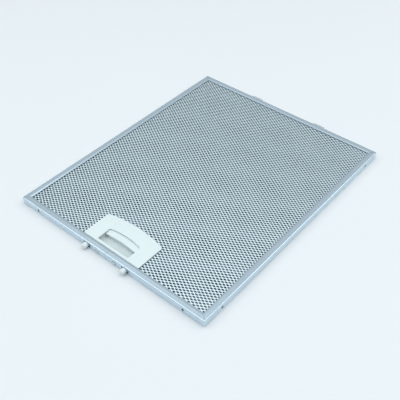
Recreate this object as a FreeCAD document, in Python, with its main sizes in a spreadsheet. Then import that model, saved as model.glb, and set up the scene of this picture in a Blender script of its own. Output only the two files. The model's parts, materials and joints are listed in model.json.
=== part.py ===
import FreeCAD, Part
import math
import os
from types import SimpleNamespace

import Sketcher

# Cooker hood grease filter: a folded aluminium channel round a pack of expanded mesh, with a sprung latch.
# Millimetres, +Z up. The filter lies on its rear face with the latch at -Y, and the origin is the middle
# of its underside.

SIZES = {
    "frame_width": (260.0, "outer width along the latch side"),
    "frame_depth": (320.0, "outer depth, latch side to tongue side"),
    "frame_height": (8.5, "outer thickness"),
    "sheet_gauge": (0.6, "thickness of the folded strip"),
    "flange_width": (7.5, "flange from the outer face to its inner edge"),
    "flange_bend": (0.4, "inside radius of the two long bends"),
    "corner_round": (1.3, "outside radius of the four upright corners"),
    "lip_width": (2.0, "inner band of the flange that is pressed down on the mesh"),
    "lip_drop": (0.6, "how far that band goes down"),
    "mitre_gap": (0.2, "open line of the mitres and the butt seam"),
    "drain_diameter": (2.8, "drain holes in the walls"),
    "drain_inset": (26.5, "drain hole to the nearest corner"),
    "tongue_width": (16.0, "rear tongue, across"),
    "tongue_length": (6.0, "rear tongue, out of the wall"),
    "tongue_spacing": (94.5, "between the tongue centres"),
    "tongue_slope": (2.2, "how far the tip lies below the root"),
    "tongue_top": (7.1, "height of the root's top"),
    "tongue_round": (3.0, "corner radius of the tip"),
    "mesh_thickness": (1.1, "each outer expanded sheet"),
    "mesh_columns": (7, "diamonds across, first lattice"),
    "mesh_rows": (15, "diamonds along, first lattice"),
    "mesh_pit": (0.8, "depth of a closed diamond, part of the thickness"),
    "mesh_opening": (0.8, "floor or hole of a diamond, part of the diamond"),
    "layer_count": (5, "inner filter layers"),
    "layer_columns": (2, "openings across every other inner layer; one more in the rest"),
    "layer_rows": (4, "openings along an inner layer"),
    "layer_strand": (38.0, "strand of the inner layers"),
    "layer_gap": (0.03, "between neighbouring layers"),
    "pack_gap": (0.15, "mesh pack to the pressed lips"),
    "sheet_gap": (0.4, "mesh edges to the frame walls"),
    "seat_gap": (0.05, "latch plates to the mesh"),
    "fit_gap": (0.2, "latch mouldings to the frame"),
    "bezel_width": (78.0, "latch bezel, across"),
    "bezel_depth": (35.4, "bezel front edge to its rear corners"),
    "bezel_rise": (5.0, "arch of the bezel's rear edge"),
    "bezel_overlap": (2.0, "bezel over the mesh"),
    "bezel_round": (2.0, "bezel corners in plan"),
    "edge_bevel": (0.4, "bevel round the bezel and the cover"),
    "wall": (1.4, "moulded walls"),
    "well_width": (43.3, "finger well, across"),
    "well_strip": (3.1, "bezel strip in front of the well"),
    "well_depth": (6.4, "bezel top to the well floor"),
    "window_length": (17.7, "well front to the window's rear corners"),
    "window_rise": (2.5, "arch of the window's rear edge"),
    "window_round": (1.6, "window corners in plan"),
    "bar_length": (7.0, "grip bar seen in the window"),
    "bar_rise": (1.5, "arch of the bar's front edge"),
    "bar_drop": (1.7, "bezel top to the bar"),
    "bar_plate": (1.3, "thickness of the slider plate"),
    "bar_gap": (0.45, "bar ends to the well walls"),
    "lip_inset": (3.6, "push lip, in from the bar's ends"),
    "lip_setback": (0.9, "push lip, behind the bar's front edge"),
    "lip_depth": (3.0, "push lip, front to spring seat"),
    "floor_reach": (3.0, "well floor behind the bar's front edge"),
    "slide_gap": (0.4, "slider to the housing floor"),
    "travel": (6.0, "slider travel"),
    "prong_spacing": (54.8, "between the prong centres"),
    "prong_diameter": (6.0, "round nose of a prong"),
    "prong_reach": (6.0, "prong out of the frame"),
    "prong_dome": (2.2, "rounding of the nose"),
    "nose_facets": (3, "cones that make the rounding"),
    "prong_shank": (5.4, "shank behind the nose"),
    "prong_step": (0.3, "wall face to the step behind the nose"),
    "arm_width": (5.0, "slider arm, across"),
    "arm_height": (4.4, "slider arm, up"),
    "slot_width": (10.0, "wall slot round a prong"),
    "slot_gap": (0.2, "wall slot above and below a prong"),
    "slot_round": (2.4, "corner radius of a wall slot"),
    "channel_gap": (0.6, "nose to the channel in the housing"),
    "lug_spacing": (25.0, "between the snap lugs"),
    "lug_width": (4.2, "snap lug, across"),
    "lug_height": (1.8, "snap lug, up"),
    "lug_reach": (0.8, "snap lug out of the frame"),
    "lug_bottom": (2.4, "underside of a lug above the filter's underside"),
    "lug_gap": (0.3, "lug to the sides of its window"),
    "lug_window": (3.4, "height of the lug window"),
    "spring_diameter": (3.2, "outside of the coils"),
    "spring_wire": (0.4, "wire thickness"),
    "spring_turns": (4, "coils"),
    "spring_centre": (3.7, "spring axis above the filter's underside"),
    "spring_seat": (5.0, "boss that seats the rear end, width"),
    "spring_length": (16.4, "fitted length"),
    "peg_diameter": (1.8, "spring pegs, across"),
    "peg_length": (2.6, "spring pegs, along"),
    "rib_height": (0.5, "locating ribs of the cover"),
    "rib_gap": (0.3, "locating ribs to the housing"),
}

DOC = FreeCAD.newDocument("grease_filter")
OVERCUT = 1.0  # how far a cutting outline runs past the face it opens


class Size:
    """A number together with the sheet expression that gives it."""

    def __init__(self, value, text):
        self.value = float(value)
        self.text = text

    def __add__(self, other):
        other = as_size(other)
        return Size(self.value + other.value, f"({self.text} + {other.text})")

    def __sub__(self, other):
        other = as_size(other)
        return Size(self.value - other.value, f"({self.text} - {other.text})")

    def __mul__(self, other):
        other = as_size(other)
        return Size(self.value * other.value, f"({self.text} * {other.text})")

    def __truediv__(self, other):
        other = as_size(other)
        return Size(self.value / other.value, f"({self.text} / {other.text})")

    def __neg__(self):
        return Size(-self.value, f"(0 - {self.text})")

    def root(self):
        return Size(self.value ** 0.5, f"sqrt({self.text})")


def as_size(item):
    if isinstance(item, Size):
        return item
    return Size(item, str(item))


def make_sheet():
    """Driving dimensions, one row each: name, value with an alias, what it is."""
    sheet = DOC.addObject("Spreadsheet::Sheet", "dims")
    for row, (alias, (value, note)) in enumerate(SIZES.items(), start=1):
        sheet.set(f"A{row}", alias)
        sheet.set(f"B{row}", str(value))
        sheet.setAlias(f"B{row}", alias)
        sheet.set(f"C{row}", note)
    DOC.recompute()
    return SimpleNamespace(**{alias: Size(sheet.get(alias), f"dims.{alias}") for alias in SIZES})


def bind(item, name, size):
    item.setExpression(name, as_size(size).text)


def new_body(label, place=None):
    body = DOC.addObject("PartDesign::Body", label)
    body.Label = label
    for axis, size in zip("xyz", place or ()):
        bind(body, f"Placement.Base.{axis}", size)
    return body


def new_sketch(body, name, plane, offset=0):
    """Sketch on one of the body's own origin planes, moved along the plane's normal."""
    sketch = body.newObject("Sketcher::SketchObject", name)
    support = next(item for item in body.Origin.OriginFeatures if item.Role == plane)
    sketch.AttachmentSupport = [(support, "")]
    sketch.MapMode = "FlatFace"
    bind(sketch, "AttachmentOffset.Base.z", offset)
    return sketch


def drive(sketch, kind, places, size):
    """Add a constraint whose value follows the sheet."""
    size = as_size(size)
    index = sketch.addConstraint(Sketcher.Constraint(kind, *places, size.value))
    sketch.renameConstraint(index, f"size_{index}")
    bind(sketch, f"Constraints.size_{index}", size)


def pin(sketch, geometry, point, x, y):
    drive(sketch, "DistanceX", (-1, 1, geometry, point), x)
    drive(sketch, "DistanceY", (-1, 1, geometry, point), y)


def loop(sketch, corners):
    """Closed outline. A corner is (x, y) or (x, y, radius): the side that leaves it is then an arc.

    Going round with the inside on the left, a positive radius bulges outwards, a negative one inwards.
    """
    points = [FreeCAD.Vector(as_size(c[0]).value, as_size(c[1]).value, 0) for c in corners]
    ends = []
    for index, corner in enumerate(corners):
        start = points[index]
        stop = points[(index + 1) % len(points)]
        if len(corner) == 2:
            geometry = sketch.addGeometry(Part.LineSegment(start, stop), False)
            ends.append((geometry, 1, 2))
            continue
        radius = as_size(corner[2])
        chord = stop - start
        sagitta = abs(radius.value) - max(radius.value ** 2 - chord.Length ** 2 / 4, 0.0) ** 0.5
        outward = FreeCAD.Vector(chord.y, -chord.x, 0).normalize()
        if radius.value > 0:
            middle = (start + stop) * 0.5 + outward * sagitta
            geometry = sketch.addGeometry(Part.ArcOfCircle(start, middle, stop), False)
            ends.append((geometry, 1, 2))
        else:
            middle = (start + stop) * 0.5 - outward * sagitta
            geometry = sketch.addGeometry(Part.ArcOfCircle(stop, middle, start), False)
            ends.append((geometry, 2, 1))
    for index, (geometry, _, last) in enumerate(ends):
        following, first, _ = ends[(index + 1) % len(ends)]
        sketch.addConstraint(Sketcher.Constraint("Coincident", geometry, last, following, first))
    for (geometry, first, _), corner in zip(ends, corners):
        pin(sketch, geometry, first, corner[0], corner[1])
        if len(corner) == 3:
            radius = as_size(corner[2])
            drive(sketch, "Radius", (geometry,), radius if radius.value > 0 else -radius)


def box_loop(sketch, left, right, low, high):
    loop(sketch, [(left, low), (right, low), (right, high), (left, high)])


def rounded_loop(sketch, half_x, half_y, radius, x=0, y=0):
    """Rectangle with round corners about a centre."""
    x = as_size(x)
    y = as_size(y)
    flat_x = half_x - radius
    flat_y = half_y - radius
    loop(sketch, [(x - flat_x, y - half_y), (x + flat_x, y - half_y, radius),
                  (x + half_x, y - flat_y), (x + half_x, y + flat_y, radius),
                  (x + flat_x, y + half_y), (x - flat_x, y + half_y, radius),
                  (x - half_x, y + flat_y), (x - half_x, y - flat_y, radius)])


def round_corner(sketch, x, y, side, end, radius):
    """What lies outside a round corner at (x, y); side and end are the signs of the corner's directions."""
    inner = x - radius * side
    low = y - radius * end
    outer = x + OVERCUT * side
    high = y + OVERCUT * end
    loop(sketch, [(x, low, radius * (side * end)), (inner, y), (inner, high), (outer, high), (outer, low)])


def circle(sketch, x, y, radius):
    centre = FreeCAD.Vector(as_size(x).value, as_size(y).value, 0)
    geometry = sketch.addGeometry(Part.Circle(centre, FreeCAD.Vector(0, 0, 1), as_size(radius).value), False)
    pin(sketch, geometry, 3, x, y)
    drive(sketch, "Radius", (geometry,), radius)


def arch_radius(half_chord, rise):
    return (half_chord * half_chord + rise * rise) / (rise * 2)


def extrude(body, kind, name, sketch, length, reverse=False, both=False):
    """Pad or Pocket of a sketch; length None goes through everything. Raises if the volume is unchanged."""
    before = body.Shape.Volume if body.Tip and not body.Shape.isNull() else 0.0
    feature = body.newObject(f"PartDesign::{kind}", name)
    feature.Profile = sketch
    if length is None:
        feature.Type = "ThroughAll"
    else:
        bind(feature, "Length", length)
    feature.Reversed = reverse
    if both:
        feature.SideType = "Symmetric"
    DOC.recompute()
    change = body.Shape.Volume - before
    if (change > 0) != (kind == "Pad") or abs(change) < 1e-6:
        raise RuntimeError(f"{name} changed the volume by {change}")
    return feature


def dress_edges(body, kind, name, size, wanted):
    """Fillet or Chamfer on the edges of the body's present shape that a test picks."""
    base = body.Tip
    edges = [f"Edge{number}" for number, edge in enumerate(base.Shape.Edges, start=1) if wanted(edge)]
    feature = body.newObject(f"PartDesign::{kind}", name)
    feature.Base = (base, edges)
    bind(feature, "Radius" if kind == "Fillet" else "Size", size)
    DOC.recompute()
    return feature


def level(edge, *heights):
    """True for an edge that lies flat at one of the heights."""
    box = edge.BoundBox
    return box.ZLength < 1e-4 and any(abs(box.ZMin - as_size(height).value) < 1e-3 for height in heights)


def upright(edge, x, y):
    """True for an upright edge over a point in plan, on either side of the middle."""
    box = edge.BoundBox
    straight = box.XLength < 1e-4 and box.YLength < 1e-4
    over_x = abs(abs(box.XMin) - as_size(x).value) < 1e-3
    over_y = abs(box.YMin - as_size(y).value) < 1e-3
    return straight and over_x and over_y


D = make_sheet()

# Levels and lines that several pieces share.
HALF_WIDTH = D.frame_width / 2
HALF_DEPTH = D.frame_depth / 2
MIDDLE = D.frame_height / 2
LIP_TOP = D.frame_height - D.sheet_gauge - D.lip_drop
PACK_TOP = LIP_TOP - D.pack_gap
PACK_BOTTOM = D.frame_height - PACK_TOP
WALL_INSIDE = HALF_DEPTH - D.sheet_gauge
FLANGE_EDGE = HALF_DEPTH - D.flange_width
BEZEL_FRONT = -(FLANGE_EDGE - D.fit_gap)
BEZEL_REAR = BEZEL_FRONT + D.bezel_depth
BEZEL_HALF = D.bezel_width / 2
PLATE_BOTTOM = PACK_TOP + D.seat_gap
COVER_TOP = PACK_BOTTOM - D.seat_gap
BLOCK_HALF = BEZEL_HALF - D.bezel_overlap
BLOCK_REAR = BEZEL_REAR - D.bezel_overlap
BLOCK_FRONT = -(WALL_INSIDE - D.fit_gap)
CHAMBER_FRONT = BEZEL_FRONT + D.wall
WELL_HALF = D.well_width / 2
WELL_FRONT = BEZEL_FRONT + D.well_strip
WINDOW_REAR = WELL_FRONT + D.window_length
BAR_FRONT = WINDOW_REAR - D.bar_length
BAR_TOP = D.frame_height - D.bar_drop
LIP_FRONT = BAR_FRONT + D.lip_setback
LIP_SEAT = LIP_FRONT + D.lip_depth
BOSS_SEAT = LIP_SEAT + D.spring_length + D.seat_gap * 2
PRONG_X = D.prong_spacing / 2
SIDES = (-1, 1)


def make_frame():
    """Folded strip: wall, two flanges with pressed lips, mitred corners, holes and lanced tongues."""
    body = new_body("frame")
    path = new_sketch(body, "frame_path", "XY_Plane")
    box_loop(path, -HALF_WIDTH, HALF_WIDTH, -HALF_DEPTH, HALF_DEPTH)
    top = D.frame_height
    roof = top - D.sheet_gauge
    outer_bend = D.flange_bend + D.sheet_gauge
    face = -HALF_DEPTH
    inside = -WALL_INSIDE
    fold = D.flange_width - D.lip_width - HALF_DEPTH
    section = new_sketch(body, "frame_section", "YZ_Plane")
    loop(section, [(-FLANGE_EDGE, top - D.lip_drop), (fold, top), (face + outer_bend, top, outer_bend),
                   (face, top - outer_bend), (face, outer_bend, outer_bend), (face + outer_bend, 0),
                   (fold, 0), (-FLANGE_EDGE, D.lip_drop), (-FLANGE_EDGE, D.lip_drop + D.sheet_gauge),
                   (fold, D.sheet_gauge), (inside + D.flange_bend, D.sheet_gauge, -D.flange_bend),
                   (inside, D.sheet_gauge + D.flange_bend), (inside, roof - D.flange_bend, -D.flange_bend),
                   (inside + D.flange_bend, roof), (fold, roof), (-FLANGE_EDGE, roof - D.lip_drop)])
    strip = body.newObject("PartDesign::AdditivePipe", "frame_strip")
    strip.Profile = section
    strip.Spine = (path, ["Edge1", "Edge2", "Edge3", "Edge4"])
    strip.Transition = "Right corner"
    DOC.recompute()
    sketch = new_sketch(body, "frame_corners", "XY_Plane")
    for side in SIDES:
        for end in SIDES:
            round_corner(sketch, HALF_WIDTH * side, HALF_DEPTH * end, side, end, D.corner_round)
    extrude(body, "Pocket", "frame_corner_rounding", sketch, None, both=True)

    sketch = new_sketch(body, "frame_mitres", "XY_Plane")
    shift = D.mitre_gap / 2
    for side in SIDES:
        for end in SIDES:
            near_x = (HALF_WIDTH - D.flange_width - OVERCUT) * side
            near_y = (HALF_DEPTH - D.flange_width - OVERCUT) * end
            far_x = (HALF_WIDTH - D.flange_bend - D.sheet_gauge) * side
            far_y = (HALF_DEPTH - D.flange_bend - D.sheet_gauge) * end
            loop(sketch, [(near_x + shift * side, near_y - shift * end),
                          (far_x + shift * side, far_y - shift * end),
                          (far_x - shift * side, far_y + shift * end),
                          (near_x - shift * side, near_y + shift * end)])
    box_loop(sketch, -shift, shift, -(HALF_DEPTH + OVERCUT), -(FLANGE_EDGE - OVERCUT))
    extrude(body, "Pocket", "frame_seams", sketch, None, both=True)

    wall = D.sheet_gauge + D.flange_bend
    sketch = new_sketch(body, "frame_latch_holes", "XZ_Plane", HALF_DEPTH)
    for side in SIDES:
        rounded_loop(sketch, D.slot_width / 2, D.prong_diameter / 2 + D.slot_gap, D.slot_round,
                     PRONG_X * side, MIDDLE)
        centre = D.lug_spacing / 2 * side
        reach = D.lug_width / 2 + D.lug_gap
        low = D.lug_bottom - D.lug_gap
        box_loop(sketch, centre - reach, centre + reach, low, low + D.lug_window)
    extrude(body, "Pocket", "frame_latch_cut", sketch, wall)

    for plane, half in (("XZ_Plane", HALF_WIDTH), ("YZ_Plane", HALF_DEPTH)):
        sketch = new_sketch(body, f"frame_drains_{plane}", plane)
        for side in SIDES:
            circle(sketch, (half - D.drain_inset) * side, MIDDLE, D.drain_diameter / 2)
        extrude(body, "Pocket", f"frame_drain_cut_{plane}", sketch, None, both=True)

    sketch = new_sketch(body, "frame_lances", "XZ_Plane", -HALF_DEPTH)
    under = D.tongue_top - D.sheet_gauge
    for side in SIDES:
        centre = D.tongue_spacing / 2 * side
        box_loop(sketch, centre - D.tongue_width / 2, centre + D.tongue_width / 2,
                 under - D.tongue_length + D.sheet_gauge, under)
    extrude(body, "Pocket", "frame_lance_cut", sketch, wall, reverse=True)
    tip = HALF_DEPTH + D.tongue_length
    for side, name in zip(SIDES, ("left", "right")):
        sketch = new_sketch(body, f"frame_tongue_{name}", "YZ_Plane", D.tongue_spacing / 2 * side)
        loop(sketch, [(WALL_INSIDE, under), (HALF_DEPTH, under), (tip, under - D.tongue_slope),
                      (tip, D.tongue_top - D.tongue_slope), (HALF_DEPTH, D.tongue_top),
                      (WALL_INSIDE, D.tongue_top)])
        extrude(body, "Pad", f"frame_tongue_pad_{name}", sketch, D.tongue_width, both=True)
    sketch = new_sketch(body, "frame_tongue_corners", "XY_Plane")
    for side in SIDES:
        for edge in SIDES:
            corner = D.tongue_spacing / 2 * side + D.tongue_width / 2 * edge
            round_corner(sketch, corner, tip, edge, 1, D.tongue_round)
    extrude(body, "Pocket", "frame_tongue_rounding", sketch, None, both=True)
    return body


def notched_sheet(label, bottom, thickness):
    """Flat sheet of the pack, cut out round the latch housing."""
    body = new_body(label)
    sketch = new_sketch(body, f"{label}_outline", "XY_Plane", bottom)
    side = HALF_WIDTH - D.sheet_gauge - D.sheet_gap
    end = WALL_INSIDE - D.sheet_gap
    notch = BLOCK_HALF + D.fit_gap
    rear = BLOCK_REAR + D.fit_gap
    loop(sketch, [(-side, -end), (-notch, -end), (-notch, rear, -arch_radius(notch, D.bezel_rise)),
                  (notch, rear), (notch, -end), (side, -end), (side, end), (-side, end)])
    extrude(body, "Pad", f"{label}_sheet", sketch, thickness)
    return body


def diamonds(body, name, top, depth, columns, rows, strand):
    """Two interleaved lattices of diamond openings that leave crossing strands of one width."""
    field_x = D.frame_width - D.flange_width * 2
    field_y = D.frame_depth - D.flange_width * 2
    long_way = field_x / columns
    short_way = field_y / rows
    side = (long_way * long_way + short_way * short_way).root()
    half_long = long_way / 2 - strand * side / (short_way * 2)
    half_short = short_way / 2 - strand * side / (long_way * 2)
    axes = {item.Role: item for item in body.Origin.OriginFeatures}
    for step in (1, 2):
        first_x = (long_way * step - field_x) / 2
        first_y = (short_way * step - field_y) / 2
        sketch = new_sketch(body, f"{name}_diamond_{step}", "XY_Plane", top)
        loop(sketch, [(first_x - half_long, first_y), (first_x, first_y - half_short),
                      (first_x + half_long, first_y), (first_x, first_y + half_short)])
        cut = extrude(body, "Pocket", f"{name}_opening_{step}", sketch, depth)
        pattern = body.newObject("PartDesign::LinearPattern", f"{name}_lattice_{step}")
        pattern.Originals = [cut]
        pattern.Direction = (axes["X_Axis"], [""])
        pattern.Direction2 = (axes["Y_Axis"], [""])
        bind(pattern, "Length", field_x - long_way * step)
        bind(pattern, "Length2", field_y - short_way * step)
        bind(pattern, "Occurrences", columns - (step - 1))
        bind(pattern, "Occurrences2", rows - (step - 1))
        body.Tip = pattern
        DOC.recompute()


def polygon(points, height):
    corners = [FreeCAD.Vector(x, y, height) for x, y in points]
    return Part.makePolygon(corners + corners[:1])


def diamond(x, y, half_x, half_y):
    return [(x + half_x, y), (x, y + half_y), (x - half_x, y), (x, y - half_y)]


def flat_face(points):
    return Part.Face(Part.makePolygon(points + points[:1]))


def band(outer, outer_height, inner, inner_height):
    """Faces between two outlines with matching corners, each at its own height."""
    faces = []
    for first in range(len(outer)):
        second = (first + 1) % len(outer)
        faces.append(flat_face([FreeCAD.Vector(*outer[first], outer_height),
                                FreeCAD.Vector(*outer[second], outer_height),
                                FreeCAD.Vector(*inner[second], inner_height),
                                FreeCAD.Vector(*inner[first], inner_height)]))
    return faces


def notch_tool():
    """What the latch housing takes out of a sheet, as tall as the frame."""
    half = (BLOCK_HALF + D.fit_gap).value
    rear = (BLOCK_REAR + D.fit_gap).value
    front = -D.frame_depth.value
    outline = ((-half, rear), (-half, front), (half, front), (half, rear))
    corners = [FreeCAD.Vector(x, y, 0) for x, y in outline]
    arch = Part.Arc(corners[3], FreeCAD.Vector(0, rear + D.bezel_rise.value, 0), corners[0])
    edge = Part.Wire(Part.makePolygon(corners).Edges + [arch.toShape()])
    return Part.Face(edge).extrude(FreeCAD.Vector(0, 0, D.frame_height.value))


def expanded_sheet(label, ridge, under):
    """Expanded sheet: sharp ridges at one height round two interleaved lattices of diamonds.

    The diamonds fill the frame's window. Those of the second lattice are open, the others have a floor.
    """
    columns = int(D.mesh_columns.value)
    rows = int(D.mesh_rows.value)
    field_x = HALF_WIDTH.value - D.flange_width.value
    field_y = FLANGE_EDGE.value
    half_x = field_x / columns
    half_y = field_y / rows
    part = D.mesh_opening.value
    floor = ridge + (under - ridge) * D.mesh_pit.value
    faces = []
    holes = []
    for step in (1, 2):
        for column in range(columns + 1 - step):
            for row in range(rows + 1 - step):
                x = half_x * (2 * column + step) - field_x
                y = half_y * (2 * row + step) - field_y
                rim = diamond(x, y, half_x, half_y)
                inner = diamond(x, y, half_x * part, half_y * part)
                if step == 1:
                    faces += band(rim, ridge, inner, floor)
                    faces.append(Part.Face(polygon(inner, floor)))
                else:
                    faces += band(rim, ridge, inner, under)
                    holes.append(polygon(inner, under))

    lower = [(half_x * step - field_x, half_y * (1 - step % 2) - field_y) for step in range(1, columns * 2)]
    right = [(field_x - half_x * (1 - step % 2), half_y * step - field_y) for step in range(1, rows * 2)]
    zigzag = lower + right
    zigzag += [(-x, -y) for x, y in zigzag]
    edge_x = (HALF_WIDTH - D.sheet_gauge - D.sheet_gap).value
    edge_y = (WALL_INSIDE - D.sheet_gap).value
    edge = [(edge_x, edge_y), (-edge_x, edge_y), (-edge_x, -edge_y), (edge_x, -edge_y)]
    maker = "Part::FaceMakerBullseye"
    faces.append(Part.makeFace([polygon(edge, ridge), polygon(zigzag, ridge)], maker))
    faces.append(Part.makeFace([polygon(edge, under), *holes], maker))
    faces += band(edge, ridge, edge, under)
    shell = Part.Shell(faces)
    shell.sewShape()
    sheet = DOC.addObject("Part::Feature", label)
    sheet.Label = label
    sheet.Shape = Part.Solid(shell).cut(notch_tool())
    sheet.Placement = FreeCAD.Placement()
    return sheet


def make_meshes():
    """Outer expanded sheets with their ridges outwards, and the layers between them."""
    bodies = [expanded_sheet("front_mesh", PACK_TOP.value, (PACK_TOP - D.mesh_thickness).value),
              expanded_sheet("rear_mesh", PACK_BOTTOM.value, (PACK_BOTTOM + D.mesh_thickness).value)]
    room = PACK_TOP - PACK_BOTTOM - D.mesh_thickness * 2
    pitch = room / D.layer_count
    for number in range(1, int(D.layer_count.value) + 1):
        label = f"filter_layer_{number}"
        bottom = PACK_BOTTOM + D.mesh_thickness + pitch * (number - 1) + D.layer_gap / 2
        thickness = pitch - D.layer_gap
        body = notched_sheet(label, bottom, thickness)
        diamonds(body, label, bottom + thickness, thickness + D.layer_gap,
                 D.layer_columns + number % 2, D.layer_rows, D.layer_strand)
        bodies.append(body)
    return bodies


def bezel_corners(half, front, rear, rise):
    """Straight front and sides with an arched rear edge."""
    return [(-half, front), (half, front), (half, rear, arch_radius(half, rise)), (-half, rear)]


def make_housing():
    """White moulding: bezel, finger well, slider chamber open below, front rail with snap lugs."""
    body = new_body("latch_housing")
    sketch = new_sketch(body, "housing_bezel", "XY_Plane", PLATE_BOTTOM)
    loop(sketch, bezel_corners(BEZEL_HALF, BEZEL_FRONT, BEZEL_REAR, D.bezel_rise))
    extrude(body, "Pad", "housing_plate", sketch, D.frame_height - PLATE_BOTTOM)
    dress_edges(body, "Fillet", "housing_plate_corners", D.bezel_round,
                lambda edge: upright(edge, BEZEL_HALF, BEZEL_REAR))

    sketch = new_sketch(body, "housing_block", "XY_Plane", PACK_BOTTOM)
    loop(sketch, bezel_corners(BLOCK_HALF, BLOCK_FRONT, BLOCK_REAR, D.bezel_rise))
    extrude(body, "Pad", "housing_body", sketch, PLATE_BOTTOM - PACK_BOTTOM)

    inner = BLOCK_HALF - D.wall
    rear = BLOCK_REAR - D.wall
    shoulder = WELL_HALF + D.wall
    floor_end = BAR_FRONT + D.floor_reach
    sketch = new_sketch(body, "housing_chamber", "XY_Plane", PACK_BOTTOM)
    loop(sketch, [(-inner, CHAMBER_FRONT), (-shoulder, CHAMBER_FRONT), (-shoulder, floor_end),
                  (shoulder, floor_end), (shoulder, CHAMBER_FRONT), (inner, CHAMBER_FRONT),
                  (inner, rear, arch_radius(inner, D.bezel_rise)), (-inner, rear)])
    extrude(body, "Pocket", "housing_hollow", sketch, PLATE_BOTTOM - PACK_BOTTOM, reverse=True)

    sketch = new_sketch(body, "housing_well", "XY_Plane", D.frame_height)
    box_loop(sketch, -WELL_HALF, WELL_HALF, WELL_FRONT, floor_end + OVERCUT)
    extrude(body, "Pocket", "housing_well_cut", sketch, D.well_depth)
    sketch = new_sketch(body, "housing_window", "XY_Plane", D.frame_height)
    loop(sketch, bezel_corners(WELL_HALF, WELL_FRONT, WINDOW_REAR, D.window_rise))
    extrude(body, "Pocket", "housing_window_cut", sketch, D.frame_height - PLATE_BOTTOM)
    dress_edges(body, "Fillet", "housing_window_corners", D.window_round,
                lambda edge: upright(edge, WELL_HALF, WELL_FRONT) or upright(edge, WELL_HALF, WINDOW_REAR))
    dress_edges(body, "Chamfer", "housing_top_edges", D.edge_bevel, lambda edge: level(edge, D.frame_height))

    reach = D.prong_diameter / 2 + D.channel_gap
    sketch = new_sketch(body, "housing_channels", "XY_Plane", PACK_BOTTOM)
    for side in SIDES:
        box_loop(sketch, PRONG_X * side - reach, PRONG_X * side + reach,
                 BLOCK_FRONT - OVERCUT, CHAMBER_FRONT)
    extrude(body, "Pocket", "housing_channel_cut", sketch, PLATE_BOTTOM - PACK_BOTTOM, reverse=True)

    sketch = new_sketch(body, "housing_lugs", "XZ_Plane", -BLOCK_FRONT)
    for side in SIDES:
        centre = D.lug_spacing / 2 * side
        box_loop(sketch, centre - D.lug_width / 2, centre + D.lug_width / 2,
                 D.lug_bottom, D.lug_bottom + D.lug_height)
    extrude(body, "Pad", "housing_lug_pads", sketch, BLOCK_FRONT + HALF_DEPTH + D.lug_reach)

    sketch = new_sketch(body, "housing_seat", "XY_Plane", PACK_BOTTOM)
    box_loop(sketch, -D.spring_seat / 2, D.spring_seat / 2, BOSS_SEAT, BLOCK_REAR + D.wall)
    extrude(body, "Pad", "housing_boss", sketch, PLATE_BOTTOM - PACK_BOTTOM)
    sketch = new_sketch(body, "housing_peg", "XZ_Plane", -BOSS_SEAT)
    circle(sketch, 0, D.spring_centre, D.peg_diameter / 2)
    extrude(body, "Pad", "housing_peg_pad", sketch, D.peg_length)
    return body


def make_cover():
    """Back plate of the latch, with two ribs that locate it between the housing's side walls."""
    body = new_body("latch_cover")
    sketch = new_sketch(body, "cover_outline", "XY_Plane")
    loop(sketch, bezel_corners(BEZEL_HALF, BEZEL_FRONT, BEZEL_REAR, D.bezel_rise))
    extrude(body, "Pad", "cover_plate", sketch, COVER_TOP)
    dress_edges(body, "Fillet", "cover_corners", D.bezel_round,
                lambda edge: upright(edge, BEZEL_HALF, BEZEL_REAR))
    dress_edges(body, "Chamfer", "cover_edges", D.edge_bevel, lambda edge: level(edge, 0))
    sketch = new_sketch(body, "cover_ribs", "XY_Plane", COVER_TOP)
    outer = BLOCK_HALF - D.wall - D.rib_gap
    for side in SIDES:
        centre = (outer - D.wall / 2) * side
        box_loop(sketch, centre - D.wall / 2, centre + D.wall / 2,
                 CHAMBER_FRONT + D.wall, BLOCK_REAR - D.wall * 2)
    extrude(body, "Pad", "cover_rib_pads", sketch, D.seat_gap * 2 + D.rib_height)
    return body


def make_nose(body, name, x, root):
    """Round prong end along -Y: a cylinder, a few cones that make a dome and a small flat, turned."""
    sketch = new_sketch(body, name, "XY_Plane", MIDDLE)
    radius = D.prong_diameter / 2
    tip = HALF_DEPTH + D.prong_reach
    facets = int(D.nose_facets.value)
    turns = [math.pi / 2 * (step + 0.5) / (facets + 0.5) for step in range(facets + 1)]
    flat = math.cos(turns[0])
    outline = [(x, -tip)]
    for turn in turns:
        outline.append((x + radius * math.sin(turn), D.prong_dome * (1 - math.cos(turn) / flat) - tip))
    outline += [(x + radius, -root), (x, -root)]
    loop(sketch, outline)
    turned = body.newObject("PartDesign::Revolution", f"{name}_turned")
    turned.Profile = sketch
    turned.ReferenceAxis = (sketch, [f"Edge{len(outline)}"])
    turned.Angle = 360
    DOC.recompute()


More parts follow.
